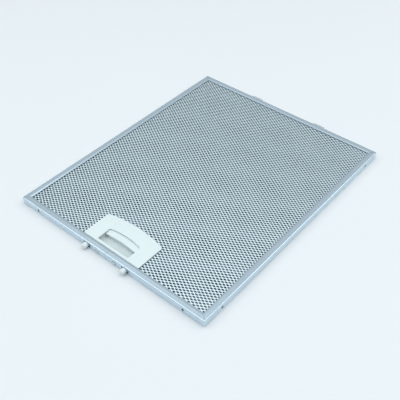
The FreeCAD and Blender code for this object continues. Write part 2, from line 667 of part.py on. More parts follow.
def make_slider():
    """White moulding: plate with the grip bar, push lip with spring pegs, two arms with round prongs."""
    body = new_body("latch_slider")
    bar_half = WELL_HALF - D.bar_gap
    arm_out = PRONG_X + D.arm_width / 2
    shoulder = BAR_FRONT + D.floor_reach + D.seat_gap
    rear = BOSS_SEAT - D.travel - D.slide_gap * 4
    plate_bottom = BAR_TOP - D.bar_plate
    sketch = new_sketch(body, "slider_outline", "XY_Plane", plate_bottom)
    loop(sketch, [(-bar_half, BAR_FRONT, -arch_radius(bar_half, D.bar_rise)), (bar_half, BAR_FRONT),
                  (bar_half, shoulder), (arm_out, shoulder), (arm_out, rear), (-arm_out, rear),
                  (-arm_out, shoulder), (-bar_half, shoulder)])
    extrude(body, "Pad", "slider_plate", sketch, D.bar_plate)

    lip_half = bar_half - D.lip_inset
    lip_bottom = D.frame_height - D.well_depth + D.slide_gap
    sketch = new_sketch(body, "slider_lip", "XY_Plane", plate_bottom)
    loop(sketch, [(-lip_half, LIP_FRONT, -arch_radius(lip_half, D.bar_rise / 2)), (lip_half, LIP_FRONT),
                  (lip_half, LIP_SEAT), (-lip_half, LIP_SEAT)])
    extrude(body, "Pad", "slider_lip_pad", sketch, plate_bottom - lip_bottom, reverse=True)

    nose_end = HALF_DEPTH + D.prong_step
    sketch = new_sketch(body, "slider_arms", "XY_Plane", MIDDLE - D.arm_height / 2)
    for side in SIDES:
        box_loop(sketch, PRONG_X * side - D.arm_width / 2, PRONG_X * side + D.arm_width / 2,
                 D.prong_diameter - HALF_DEPTH, rear)
    extrude(body, "Pad", "slider_arm_pads", sketch, D.arm_height)
    sketch = new_sketch(body, "slider_shanks", "XZ_Plane", HALF_DEPTH - D.prong_diameter)
    for side in SIDES:
        circle(sketch, PRONG_X * side, MIDDLE, D.prong_shank / 2)
    extrude(body, "Pad", "slider_shank_pads", sketch, D.prong_diameter + D.prong_step)
    for side, name in zip(SIDES, ("left", "right")):
        make_nose(body, f"slider_nose_{name}", PRONG_X * side, nose_end)

    sketch = new_sketch(body, "slider_peg", "XZ_Plane", -LIP_SEAT)
    circle(sketch, 0, D.spring_centre, D.peg_diameter / 2)
    extrude(body, "Pad", "slider_peg_pad", sketch, D.peg_length, reverse=True)
    return body


def make_spring():
    """Compression spring along Y between the push lip and the boss in the housing."""
    name = "latch_spring"
    body = new_body(name, (0, LIP_SEAT + D.seat_gap, D.spring_centre))
    sketch = new_sketch(body, f"{name}_wire", "XY_Plane")
    outside = D.spring_diameter / 2
    box_loop(sketch, outside - D.spring_wire, outside, 0, D.spring_wire)
    coil = body.newObject("PartDesign::AdditiveHelix", f"{name}_coil")
    coil.Profile = sketch
    coil.ReferenceAxis = (sketch, ["V_Axis"])
    coil.Mode = "height-turns-angle"
    bind(coil, "Height", D.spring_length - D.spring_wire)
    bind(coil, "Turns", D.spring_turns)
    DOC.recompute()
    return body


def export(bodies):
    """Check every object, then write one file per sub-part."""
    DOC.recompute()
    for item in DOC.Objects:
        if {"Invalid", "Error"} & set(item.State):
            raise RuntimeError(f"{item.Name}: {item.State}")
    for body in bodies:
        if body.Shape.isNull() or not body.Shape.isValid() or len(body.Shape.Solids) != 1:
            raise RuntimeError(f"{body.Label}: bad shape")
    os.makedirs("parts", exist_ok=True)
    for body in bodies:
        body.Shape.exportStep(f"parts/{body.Label}.step")


export([make_frame(), *make_meshes(), make_housing(), make_cover(), make_slider(), make_spring()])
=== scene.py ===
import json
import math
from functools import partial

import bmesh
import bpy
import numpy as np
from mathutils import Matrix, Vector


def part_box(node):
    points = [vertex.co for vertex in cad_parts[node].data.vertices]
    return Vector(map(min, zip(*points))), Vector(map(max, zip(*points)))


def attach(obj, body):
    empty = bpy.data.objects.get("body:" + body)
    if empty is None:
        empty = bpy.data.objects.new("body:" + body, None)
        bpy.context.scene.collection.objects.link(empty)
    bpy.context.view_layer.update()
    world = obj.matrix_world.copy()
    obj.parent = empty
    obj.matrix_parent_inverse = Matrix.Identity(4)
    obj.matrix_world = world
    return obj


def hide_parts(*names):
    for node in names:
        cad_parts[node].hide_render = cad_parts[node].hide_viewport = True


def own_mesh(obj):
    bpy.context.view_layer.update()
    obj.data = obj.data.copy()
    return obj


bl_info = {
    "name": "Grease filter",
    "version": (1, 0, 0),
    "blender": (4, 5, 0),
    "location": "3D View > Sidebar > Filter",
    "description": "Dresses the packed cooker hood filter with its mesh, folded frame and sprung latch",
    "category": "Object",
}

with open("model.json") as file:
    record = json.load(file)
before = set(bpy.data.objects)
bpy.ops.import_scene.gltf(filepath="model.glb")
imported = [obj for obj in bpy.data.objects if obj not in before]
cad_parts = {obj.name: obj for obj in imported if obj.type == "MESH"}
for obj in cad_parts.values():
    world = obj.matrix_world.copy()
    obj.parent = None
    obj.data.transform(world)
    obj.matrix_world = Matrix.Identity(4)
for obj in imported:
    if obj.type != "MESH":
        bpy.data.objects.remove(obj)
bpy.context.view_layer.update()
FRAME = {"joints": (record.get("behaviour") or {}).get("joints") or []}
ROOT_BODY = "filter"
SLIDE_BODY = "slider"
SLIDE_JOINT = "latch_slide"
SIDES = (-1, 1)
QUARTER_TURN = math.pi / 2
FULL_TURN = 2 * math.pi
CREASE = math.radians(35.0)  # edges that turn more stay sharp
WELD = 0.000002  # points of a cut or fused piece that lie closer than this become one
COMPASS = np.array([(1, 0), (0, 1), (-1, 0), (0, -1)])  # a diamond's corners, in half diamonds
SPARE_STEPS = 2  # half diamonds that the lattice of a sheet runs past its edges
LAYER_SHIFT = np.array([0.2, 0.3])  # from one inner layer to the next, in diamonds across and along
IMAGE_FRAME = 36.0  # camera sensor width in millimetres
CLIP_START = 0.01  # nearest distance that the camera sees

# Softboxes that hang level over the stage: the place of each one's middle, then its width and depth.
SOFTBOXES = {
    "key": ((0.10, -0.40, 1.5), (2.6, 2.0)),
    "rim": ((1.05, 1.5, 1.5), (1.9, 1.6)),
    "fill": ((-1.7, -1.05, 1.5), (1.0, 1.7)),
}

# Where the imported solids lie, so that each piece goes where its solid is.
STRIP_LOW, STRIP_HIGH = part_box("frame")
SHEET_LOW, SHEET_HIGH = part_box("front_mesh")
UNDER_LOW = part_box("rear_mesh")[0]
HOUSING_LOW, HOUSING_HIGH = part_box("latch_housing")
COVER_LOW, COVER_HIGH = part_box("latch_cover")
SLIDER_LOW, SLIDER_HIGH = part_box("latch_slider")
SPRING_LOW, SPRING_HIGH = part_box("latch_spring")
HALF_WIDTH = STRIP_HIGH.x
HALF_DEPTH = -STRIP_LOW.y
HEIGHT = STRIP_HIGH.z
MIDDLE = HEIGHT / 2
SPRING_AXIS = (SPRING_LOW.z + SPRING_HIGH.z) / 2
LAYERS = [f"filter_layer_{index}" for index in range(1, 6)]


def number(name, default, note, **kind):
    return bpy.props.FloatProperty(name=name, description=note, default=default, **kind)


length = partial(number, unit="LENGTH", precision=5)
ratio = partial(number, subtype="FACTOR")
angle = partial(number, subtype="ANGLE")
power = partial(number, unit="POWER")


def colour(name, default, note):
    return bpy.props.FloatVectorProperty(name=name, description=note, default=default, size=3, min=0, max=1,
                                         subtype="COLOR")


class FILTER_PG_strip(bpy.types.PropertyGroup):
    """Sizes of the folded strip."""

    gauge: length("Gauge", 0.0006, "Thickness of the strip")
    flange: length("Flange", 0.0075, "Outer face to the flange's inner edge")
    bend: length("Bend", 0.001, "Outside radius of the long bends")
    guard: length("Bend guard", 0.00015, "Flat band beside a bend, which keeps the wide faces flat")
    corner: length("Corner", 0.0013, "Outside radius of the upright corners")
    lip: length("Lip", 0.002, "Inner band of the flange, pressed on the mesh")
    drop: length("Lip drop", 0.00045, "How far that band goes down")
    seam: length("Seam", 0.0002, "Open line of the mitres and the butt seam")
    drain: length("Drain hole", 0.0028, "Diameter of the drain holes")
    drain_inset: length("Drain inset", 0.0265, "Drain hole to the nearest corner")
    slot_width: length("Slot width", 0.010, "Slot round a prong, across")
    slot_height: length("Slot height", 0.0064, "Slot round a prong, up")
    slot_corner: length("Slot corners", 0.0024, "Corner radius of a slot")
    window_width: length("Lug window width", 0.0048, "Window of a snap lug, across")
    window_height: length("Lug window height", 0.0034, "Window of a snap lug, up")
    window_low: length("Lug window sill", 0.0021, "Underside to the window's sill")
    window_corner: length("Lug window corners", 0.0002, "Corner radius of the windows and lances")
    tongue_width: length("Tongue width", 0.016, "Lanced tongue, across")
    tongue_spacing: length("Tongue spacing", 0.0945, "Between the tongues")
    tongue_top: length("Tongue root", 0.0071, "Top of the tongue's root")
    tongue_slope: length("Tongue slope", 0.0022, "Root to tip, down")
    tongue_round: length("Tongue corners", 0.003, "Corner radius of the tip")


class FILTER_PG_mesh(bpy.types.PropertyGroup):
    """Sizes of the expanded sheets."""

    long_way: length("Long way", 0.00625, "Diamond pitch across the filter")
    short_way: length("Short way", 0.00372, "Diamond pitch along the filter")
    opening_long: ratio("Opening, long way", 0.70, "Opening across, as part of the diamond")
    opening_short: ratio("Opening, short way", 0.72, "Opening along, as part of the diamond")
    strand: length("Strand thickness", 0.00035, "Thickness of a strand")
    lean: ratio("Strand lean", 0.45, "Lean, as part of what the height allows")
    stretch: ratio("Inner pitch", 1.07, "First and last layer against the sheets")
    coarse: ratio("Middle pitch", 2.0, "The layers between against those two")
    foil: length("Foil thickness", 0.0002, "Thickness of the inner layers' strands")


class FILTER_PG_latch(bpy.types.PropertyGroup):
    """Sizes of the latch mouldings and of the spring."""

    rise: length("Bezel arch", 0.005, "Arch of the bezel's rear edge")
    overlap: length("Bezel overlap", 0.002, "Bezel over the mesh")
    plate: length("Bezel plate", 0.0013, "Thickness of the bezel")
    corner: length("Bezel rear corners", 0.002, "Rear corners in plan")
    front_corner: length("Bezel front corners", 0.0008, "Front corners in plan")
    edge: length("Edge round", 0.0004, "Rounding of the moulded edges")
    wall: length("Wall", 0.0014, "Moulded walls")
    seat_gap: length("Seat gap", 0.00005, "Clearance where pieces seat on each other")
    notch_gap: length("Notch gap", 0.0002, "Housing to the notch in the sheets")
    well: length("Well", 0.0433, "Finger well, across")
    well_strip: length("Well strip", 0.0031, "Bezel in front of the well")
    well_floor: length("Well floor", 0.0021, "Height of the well's floor")
    well_round: length("Well round", 0.001, "Round at the foot of the well's walls")
    well_ledge: length("Well ledge", 0.00005, "Window's edge to the well's wall")
    window: length("Window", 0.0177, "Well front to the window's rear corners")
    window_rise: length("Window arch", 0.0025, "Arch of the window's rear edge")
    window_corner: length("Window corners", 0.0016, "Corners of the window in plan")
    bar: length("Grip bar", 0.007, "Grip bar seen in the window")
    bar_rise: length("Grip bar arch", 0.0015, "Arch of the bar's front edge")
    bar_top: length("Grip bar top", 0.0068, "Height of the bar's top")
    bar_plate: length("Grip bar plate", 0.0013, "Thickness of the bar")
    bar_gap: length("Grip bar gap", 0.00045, "Bar ends to the well's walls")
    floor_reach: length("Floor reach", 0.003, "Well floor behind the bar's front edge")
    lip_inset: length("Push lip inset", 0.0036, "Push lip in from the bar's ends")
    lip_setback: length("Push lip setback", 0.0009, "Push lip behind the bar's front edge")
    lip_depth: length("Push lip depth", 0.003, "Push lip, front to back")
    lip_gap: length("Push lip gap", 0.0004, "Push lip above the well's floor")
    prong_spacing: length("Prong spacing", 0.0548, "Between the prongs")
    prong: length("Prong", 0.006, "Diameter of a prong's nose")
    prong_step: length("Prong step", 0.0003, "Wall face to the step behind the nose")
    shank: length("Prong shank", 0.0054, "Diameter behind the nose")
    dome: length("Prong dome", 0.0022, "Rounding of the nose, along")
    arm: length("Slider arm", 0.005, "Arm behind a prong, across")
    arm_height: length("Slider arm height", 0.0044, "Arm behind a prong, up")
    channel: length("Rail channel", 0.0072, "Gap in the front rail for an arm")
    rail_setback: length("Rail setback", 0.0008, "Front rail behind the frame's outer face")
    rib_gap: length("Rib gap", 0.0003, "Cover's ribs to the housing")
    lug_spacing: length("Lug spacing", 0.025, "Between the snap lugs")
    lug: length("Lug", 0.0042, "Snap lug, across")
    lug_low: length("Lug underside", 0.0024, "Height of a lug's underside")
    lug_height: length("Lug height", 0.0018, "Snap lug, up")
    boss: length("Spring boss", 0.005, "Boss that seats the spring, across")
    peg: length("Spring peg", 0.0018, "Diameter of a spring peg")
    peg_length: length("Spring peg length", 0.0026, "Spring peg, along")
    wire: length("Spring wire", 0.0004, "Diameter of the spring's wire")
    turns: bpy.props.IntProperty(name="Spring turns", description="Coils of the spring", default=9)
    closed_end: ratio("Spring ends", 0.08, "Part of the wire that lies flat at each end")


class FILTER_PG_finish(bpy.types.PropertyGroup):
    """Colours of the finishes."""

    strip: colour("Frame aluminium", (0.645, 0.76, 0.85), "Rolled strip of the frame")
    # The mesh's bright and dark colours carry painted highlights on the bonds and painted shade on the
    # strands between them, with a random grain.
    mesh: colour("Mesh aluminium", (0.92, 0.985, 1.0), "Bright faces of the expanded sheets")
    mesh_painted_shade: colour("Mesh shade", (0.44, 0.575, 0.65), "Duller faces of the expanded sheets")
    # painted shade: the inner foil is made dark for the shadow it lies in between the sheets
    foil: colour("Foil", (0.18, 0.215, 0.23), "Inner layers")
    plastic: colour("White moulding", (0.74, 0.81, 0.81), "Latch mouldings")
    # painted shade: depth below the level over which the housing's surfaces turn darker
    recess: length("Recess", 0.0009, "Depth over which the housing turns duller")
    steel: colour("Spring steel", (0.45, 0.46, 0.48), "Spring wire")
    floor: colour("Floor", (0.80, 0.81, 0.82), "Stage floor")


class FILTER_PG_stage(bpy.types.PropertyGroup):
    """Camera, light and floor."""

    azimuth: angle("Azimuth", math.radians(39.968), "Camera, round from the latch side")
    elevation: angle("Elevation", math.radians(43.171), "Camera above the horizon")
    distance: length("Distance", 0.70971, "Camera to the point it looks at")
    target_x: length("Target X", 0.022514, "Point that the camera looks at")
    target_y: length("Target Y", -0.038124, "Point that the camera looks at")
    lens: number("Lens", 58.47, "Focal length", unit="CAMERA")
    key: power("Key light", 15.0, "Overhead softbox")
    rim: power("Rim light", 15.0, "Softbox at the rear right")
    fill: power("Fill light", 8.5, "Softbox at the front left")
    tint: colour("Light colour", (0.90, 0.97, 1.0), "Cool daylight of the boxes and the room")
    horizon: ratio("Horizon light", 0.36, "Light from all round, level with the floor")
    room: ratio("Room light", 0.39, "How much it grows towards the ceiling")
    extent: length("Floor extent", 6.0, "Middle of the floor to its edges")


# Surfaces. A shape is (points, faces): an array of places and a list of arrays of corner numbers.


def stacked(*values):
    """Arrays, or numbers that fit them, side by side along a new last axis."""
    return np.stack(np.broadcast_arrays(*values), axis=-1)


def grid_faces(rows, columns, close_rows=False, close_columns=False):
    """Quads of a grid of points, row by row; a closed direction also joins its last points to its first."""
    row, column = np.meshgrid(np.arange(rows if close_rows else rows - 1),
                              np.arange(columns if close_columns else columns - 1), indexing="ij")
    beside = (column + 1) % columns
    here = row * columns
    there = (row + 1) % rows * columns
    return stacked(here + column, here + beside, there + beside, there + column).reshape(-1, 4)


def tube_faces(rows, columns):
    """Quads between rings of points, and a flat face over the first and the last ring."""
    ring = np.arange(columns)[None]
    return [grid_faces(rows, columns, close_columns=True), ring[:, ::-1], ring + columns * (rows - 1)]


def outward(points, faces):
    """Closed shape with its faces turned outwards: its volume, summed over fans of triangles, is positive."""
    volume = 0.0
    for group in faces:
        first = points[group[:, 0]]
        for corner in range(1, group.shape[1] - 1):
            second = points[group[:, corner]]
            third = points[group[:, corner + 1]]
            volume += np.einsum("ij,ij->", first, np.cross(second, third))
    if volume < 0:
        faces = [group[:, ::-1] for group in faces]
    return points, faces


def joined(*shapes):
    """Several shapes as one."""
    points = np.concatenate([shape[0] for shape in shapes])
    faces = []
    start = 0
    for shape in shapes:
        faces += [group + start for group in shape[1]]
        start += len(shape[0])
    return points, faces


def to_front(u, v, w):
    """Drawn in X and Z, with its height along -Y."""
    return u, -w, v


def to_side(u, v, w):
    """Drawn in Y and Z, with its height along X."""
    return w, u, v


def upside_down(shape, top, landing):
    """The shape turned over in height, so that its top lands on another level: z = top + landing - z."""
    points, faces = shape
    return outward(points * (1.0, 1.0, -1.0) + (0.0, 0.0, top + landing), faces)


def rounded(corners, radii, steps=6):
    """Polyline with rounded corners: (1-t)^2 A + 2t(1-t) C + t^2 B, with A and B beside the corner C."""
    corners = np.asarray(corners, float)
    t = np.linspace(0, 1, steps + 1)[:, None]
    pieces = []
    for index, radius in enumerate(radii):
        corner = corners[index]
        if radius == 0:
            pieces.append(corner[None])
            continue
        before = corners[index - 1] - corner
        after = corners[(index + 1) % len(corners)] - corner
        start = corner + before * (radius / np.linalg.norm(before))
        stop = corner + after * (radius / np.linalg.norm(after))
        pieces.append((1 - t) ** 2 * start + 2 * t * (1 - t) * corner + t ** 2 * stop)
    return np.concatenate(pieces)


def rectangle(centre, width, low, high, radius=0.0, steps=4):
    """Rectangle about a centre line, with rounded corners."""
    left = centre - width / 2
    right = centre + width / 2
    return rounded([(left, low), (right, low), (right, high), (left, high)], [radius] * 4, steps)


def arch(half, rear, rise, count=24):
    """Shallow arch from left to right: y = rear + rise (1 - (x / half)^2)."""
    x = np.linspace(-half, half, count + 1)
    return stacked(x, rear + rise * (1 - (x / half) ** 2))


def arched(half, front, rear, rise, front_round, rear_round):
    """Outline with straight front and sides and an arch for its rear edge."""
    crown = arch(half, rear, rise)[-2:0:-1]
    corners = np.concatenate([[(-half, front), (half, front), (half, rear)], crown, [(-half, rear)]])
    return rounded(corners, [front_round, front_round, rear_round] + [0] * len(crown) + [rear_round])


def mitres(outline, closed=True):
    """Unit offsets at the points of an outline, to the right of its direction, lengthened at the corners."""
    step = np.roll(outline, -1, axis=0) - outline
    if not closed:
        step[-1] = step[-2]
    normal = stacked(step[:, 1], -step[:, 0]) / np.linalg.norm(step, axis=1, keepdims=True)
    previous = np.roll(normal, 1, axis=0)
    if not closed:
        previous[0] = normal[0]
    both = normal + previous
    return both / (1 + np.sum(normal * previous, axis=1, keepdims=True))


def round_rows(low, high, edge, steps=4):
    """Inset and height of the rows up a slab's side, with quarter circles of the edge radius, if any."""
    if edge == 0:
        return np.zeros(2), np.array([low, high])
    turn = np.linspace(-QUARTER_TURN, 0, steps + 1)
    inset = edge * (1 - np.cos(turn))
    lower = low + edge * (1 + np.sin(turn))
    return np.concatenate([inset, inset[::-1]]), np.concatenate([lower, low + high - lower[::-1]])


def raised(plan, height):
    """Points of rows of places in plan, at heights that fit those rows."""
    height = np.broadcast_to(height, plan.shape[:2])
    return np.concatenate([plan, height[..., None]], axis=-1).reshape(-1, 3)


def slab(outline, low, high, edge=0.0):
    """Plate of an outline (inside on the left): rows (outline - inset n, z), flat faces at the ends."""
    inset, height = round_rows(low, high, edge)
    plan = outline[None] - mitres(outline)[None] * inset[:, None, None]
    return outward(raised(plan, height[:, None]), tube_faces(len(inset), len(outline)))


def block(centre, width, front, rear, low, high, corner=0.0, edge=0.0):
    """Slab of a rectangle."""
    return slab(rectangle(centre, width, front, rear, corner), low, high, edge)


def plate_with_window(outer, inner, low, high, edge):
    """Plate between two outlines with matching points: up the outer side and down the inner side."""
    inset, height = round_rows(low, high, edge)
    outside = outer[None] - mitres(outer)[None] * inset[:, None, None]
    inside = inner[None] + mitres(inner)[None] * inset[::-1, None, None]
    rise = np.concatenate([height, height[::-1]])
    faces = grid_faces(len(rise), len(outer), close_rows=True, close_columns=True)
    return outward(raised(np.concatenate([outside, inside]), rise[:, None]), [faces])


def carried(path, profile):
    """Closed profile (offset, z) carried along an open path: path + offset n, with flat ends."""
    plan = path[:, None] + mitres(path, closed=False)[:, None] * profile[None, :, :1]
    return outward(raised(plan, profile[:, 1]), tube_faces(len(path), len(profile)))


def lathed(profile, centre_x, centre_z, sides):
    """Profile (radius, y) turned about Y: x = r cos a, z = r sin a; its ends lie on the axis."""
    turn = np.linspace(0, FULL_TURN, sides, endpoint=False)
    radius, along = np.asarray(profile, float)[1:-1].T
    x = centre_x + radius[:, None] * np.cos(turn)
    z = centre_z + radius[:, None] * np.sin(turn)
    body = stacked(x, along[:, None], z).reshape(-1, 3)
    tips = [(centre_x, profile[0][1], centre_z), (centre_x, profile[-1][1], centre_z)]
    ring = np.arange(sides)
    last = ring + sides * (len(radius) - 1)
    near = stacked(len(body), np.roll(ring, -1), ring)
    far = stacked(len(body) + 1, last, np.roll(last, -1))
    side_faces = grid_faces(len(radius), sides, close_columns=True)
    return outward(np.concatenate([body, tips]), [side_faces, near, far])


def thickened(points, faces, gauge):
    """Closed sheet from an open surface: a copy lower by the gauge, and a wall along every free edge."""
    count = len(points)
    edges = np.concatenate([stacked(group, np.roll(group, -1, axis=1)).reshape(-1, 2) for group in faces])
    key = np.sort(edges, axis=1)
    _, where, times = np.unique(key[:, 0] * count + key[:, 1], return_index=True, return_counts=True)
    free = edges[where[times == 1]]
    walls = stacked(free[:, 1], free[:, 0], free[:, 0] + count, free[:, 1] + count)
    under = points - (0.0, 0.0, gauge)
    under_faces = [group[:, ::-1] + count for group in faces]
    return outward(np.concatenate([points, under]), [*faces, *under_faces, walls])


def mesh_of(name, shape):
    """Mesh of a shape, smooth but for the edges that turn more than the crease angle."""
    points, faces = shape
    corners = np.concatenate([group.ravel() for group in faces]).astype(np.int32)
    sizes = np.concatenate([np.full(len(group), group.shape[1]) for group in faces])
    mesh = bpy.data.meshes.new(name)
    mesh.vertices.add(len(points))
    mesh.vertices.foreach_set("co", points.astype(np.float32).ravel())
    mesh.loops.add(len(corners))
    mesh.loops.foreach_set("vertex_index", corners)
    mesh.polygons.add(len(sizes))
    mesh.polygons.foreach_set("loop_start", np.concatenate([[0], np.cumsum(sizes)[:-1]]).astype(np.int32))
    mesh.update(calc_edges=True)
    if mesh.validate():
        raise RuntimeError(f"{name}: bad faces")
    mesh.polygons.foreach_set("use_smooth", np.ones(len(sizes), bool))
    mesh.set_sharp_from_angle(angle=CREASE)
    return mesh


def read_array(items, name, kind, size=1):
    """One attribute of all the items of a mesh."""
    values = np.empty(len(items) * size, kind)
    items.foreach_get(name, values)
    return values


def shape_of(mesh):
    """Shape of a mesh, its faces grouped by their number of corners."""
    points = read_array(mesh.vertices, "co", np.float32, 3).reshape(-1, 3).astype(float)
    corners = read_array(mesh.loops, "vertex_index", np.int32)
    start = read_array(mesh.polygons, "loop_start", np.int32)
    total = read_array(mesh.polygons, "loop_total", np.int32)
    return points, [corners[start[total == size][:, None] + np.arange(size)] for size in np.unique(total)]


def new_object(name, data):
    """Object of a mesh, a light or a camera, in the scene."""
    item = bpy.data.objects.new(name, data)
    bpy.context.scene.collection.objects.link(item)
    return item


def combined(operation, shape, *others):
    """Shape with others fused on ("UNION") or taken away ("DIFFERENCE"), as one closed surface."""
    blank = new_object("blank", mesh_of("blank", shape))
    tool = new_object("tool", mesh_of("tool", joined(*others)))
    change = blank.modifiers.new("change", "BOOLEAN")
    change.operation = operation
    change.solver = "EXACT"
    change.use_self = True
    change.object = tool
    mesh = bpy.data.meshes.new_from_object(blank.evaluated_get(bpy.context.evaluated_depsgraph_get()))
    welded = bmesh.new()
    welded.from_mesh(mesh)
    bmesh.ops.dissolve_degenerate(welded, dist=WELD, edges=welded.edges)
    welded.to_mesh(mesh)
    welded.free()
    result = shape_of(mesh)
    for spare in (mesh, blank.data, tool.data):
        bpy.data.meshes.remove(spare)
    return result


def placed(name, node, shape, finish, body=ROOT_BODY):
    """Object of a shape with its finish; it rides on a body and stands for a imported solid."""
    mesh = mesh_of(name, shape)
    mesh.materials.append(finish)
    piece = new_object(name, mesh)
    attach(piece, body)
    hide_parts(node)
    return piece


# Finishes. A Wire is a node's output that can stand in a sum.


class Wire:
    """A node's output; each operator adds one Math node to its tree."""

    def __init__(self, tree, socket=None):
        self.tree = tree
        self.socket = socket

    def node(self, kind, settings, sockets, output=0):
        """Adds a node: settings first, then its sockets' values or links. Gives the wire of one output."""
        node = self.tree.nodes.new(kind)
        for name, value in settings.items():
            setattr(node, name, value)
        for name, value in sockets.items():
            if isinstance(value, Wire):
                self.tree.links.new(value.socket, node.inputs[name])
            else:
                node.inputs[name].default_value = value
        return None if output is None else Wire(self.tree, node.outputs[output])

    def _math(self, operation, first, second=0.0):
        return self.node("ShaderNodeMath", {"operation": operation}, {0: first, 1: second})

    def __add__(self, other):
        return self._math("ADD", self, other)

    __radd__ = __add__

    def __sub__(self, other):
        return self._math("SUBTRACT", self, other)

    def __rsub__(self, other):
        return self._math("SUBTRACT", other, self)

    def __mul__(self, other):
        return self._math("MULTIPLY", self, other)

    __rmul__ = __mul__

    def __gt__(self, other):
        return self._math("GREATER_THAN", self, other)

    def __lt__(self, other):
        return self._math("LESS_THAN", self, other)

    def __abs__(self):
        return self._math("ABSOLUTE", self)

    def cosine(self):
        return self._math("COSINE", self)

    def between(self, low, high):
        """A wire from 0 to 1 laid out from low to high."""
        return self * (high - low) + low

    def axes(self):
        """Wires of a vector's X, Y and Z."""
        split = self.node("ShaderNodeSeparateXYZ", {}, {"Vector": self}).socket.node
        return [Wire(self.tree, output) for output in split.outputs]


def new_finish(name):
    """Empty material, and the wire of its Object coordinates."""
    material = bpy.data.materials.new(name)
    material.use_nodes = True
    material.node_tree.nodes.clear()
    return material, Wire(material.node_tree).node("ShaderNodeTexCoord", {}, {}, "Object")


def finished(material, place, sockets):
    """The material with a principled shader of these sockets, joined to its output."""
    shader = place.node("ShaderNodeBsdfPrincipled", {}, sockets)
    place.node("ShaderNodeOutputMaterial", {}, {"Surface": shader}, output=None)
    return material


def noise(place, scale, detail=2.0):
    """Noise whose grain is scaled apart along X, Y and Z, or alike where one number is given."""
    scale = np.broadcast_to(scale, 3).tolist()
    grain = place.node("ShaderNodeMapping", {}, {"Vector": place, "Scale": scale})
    return place.node("ShaderNodeTexNoise", {}, {"Vector": grain, "Scale": 1.0, "Detail": detail})


def relief(height, strength, distance):
    """Normal of a surface that a height roughens."""
    sockets = {"Strength": strength, "Distance": distance, "Height": height}
    return height.node("ShaderNodeBump", {}, sockets, "Normal")


def mixed(factor, first, second):
    """Colour between two others."""
    return factor.node("ShaderNodeMix", {"data_type": "RGBA"}, {0: factor, 6: first, 7: second}, 2)


def shade(rgb, level=1.0):
    """A colour made darker or brighter."""
    return (*(level * part for part in rgb), 1.0)


def mottled(factor, rgb, dark, bright):
    """Colour that wanders between a darker and a brighter shade of one colour."""
    return mixed(factor, shade(rgb, dark), shade(rgb, bright))


def strip_finish(finish, strip):
    """Rolled aluminium: fine streaks along each side of the frame, faint cloudy marks, a matt pressed lip."""
    material, place = new_finish("frame_aluminium")
    x, y, _ = place.axes()
    past_side = abs(x) - HALF_WIDTH
    past_end = abs(y) - HALF_DEPTH
    on_side = past_side > past_end
    inset = past_side * on_side + past_end * (1 - on_side)
    pressed = (strip.lip - strip.flange) > inset
    fine, drawn = 4500.0, 30.0  # grain of the streaks, across the rolling and along it
    streak = noise(place, (fine, drawn, fine)) * on_side + noise(place, (drawn, fine, fine)) * (1 - on_side)
    cloud = noise(place, 60.0, 3.0)
    rolled = mottled(streak * 0.6 + cloud * 0.4, finish.strip, 0.88, 1.1)
    return finished(material, place, {
        "Base Color": mixed(pressed, rolled, shade(finish.strip, 0.92)),
        "Metallic": 0.92,
        "Roughness": cloud.between(0.13, 0.23) + pressed * 0.15,
        "Normal": relief(streak, 0.02, 0.0001),
    })


def mesh_finish(finish, mesh):
    """Expanded aluminium: painted highlights on the bonds, painted shade on the strands between them, a
    slight grain.

    The bonds lie where -cos(pi x / half long way) cos(pi y / half short way) is 1.
    """
    material, place = new_finish("mesh_aluminium")
    x, y, _ = place.axes()
    wave = (x * (FULL_TURN / mesh.long_way)).cosine() * (y * (FULL_TURN / mesh.short_way)).cosine()
    painted_strand_shade = 0.15  # painted shade: brightness of the strands halfway between the bonds
    # painted highlight peaks on the bonds, painted shade falls on the strands between them
    bond = painted_strand_shade - wave * (1 - painted_strand_shade)
    grain = noise(place, 420.0, 1.0)
    cloud = noise(place, 26.0)
    tone = bond * 0.65 + grain * 0.2 + cloud * 0.1
    return finished(material, place, {
        "Base Color": mixed(tone, shade(finish.mesh_painted_shade), shade(finish.mesh)),
        "Metallic": 0.6,
        "Roughness": grain.between(0.32, 0.48),
    })


def foil_finish(finish):
    """Inner foil: painted shade keeps it dark, for the shadow the layers lie in between the sheets; with
    cloudy patches.
    """
    material, place = new_finish("foil_aluminium")
    grain = noise(place, 300.0, 1.0)
    cloud = noise(place, 40.0, 3.0)
    return finished(material, place, {
        "Base Color": mottled(grain * 0.5 + cloud * 0.5, finish.foil, 0.7, 1.25),
        "Metallic": 0.7,
        "Roughness": cloud.between(0.4, 0.6),
    })


def plastic_finish(finish, name, painted_shade_from=None):
    """White moulding: faint flow marks, fine spark texture, and painted shade that darkens the surfaces below
    a level, where the housing's recesses lie.
    """
    material, place = new_finish(name)
    flow = noise(place, (90.0, 40.0, 60.0), 3.0)
    base = mottled(flow, finish.plastic, 0.95, 1.04)
    # painted shade: what lies lower than the level is darkened, as the recesses would be in shade
    if painted_shade_from:
        span = {"Value": place.axes()[2], "From Min": painted_shade_from, "From Max": painted_shade_from - finish.recess}
        base = mixed(place.node("ShaderNodeMapRange", {}, span), base, shade(finish.plastic, 0.8))
    return finished(material, place, {
        "Base Color": base,
        "Roughness": flow.between(0.36, 0.51),
        "Normal": relief(noise(place, 2600.0), 0.1, 0.00005),
    })


def steel_finish(finish):
    """Drawn spring wire."""
    material, place = new_finish("spring_steel")
    drawn = noise(place, 900.0)
    return finished(material, place, {
        "Base Color": mottled(drawn, finish.steel, 0.85, 1.2),
        "Metallic": 1.0,
        "Roughness": drawn.between(0.25, 0.45),
    })


def floor_finish(finish):
    """Plain pale floor with a very faint unevenness."""
    material, place = new_finish("stage_floor")
    base = mottled(noise(place, 3.0), finish.floor, 0.99, 1.01)
    return finished(material, place, {"Base Color": base, "Roughness": 0.7})


# Pieces.


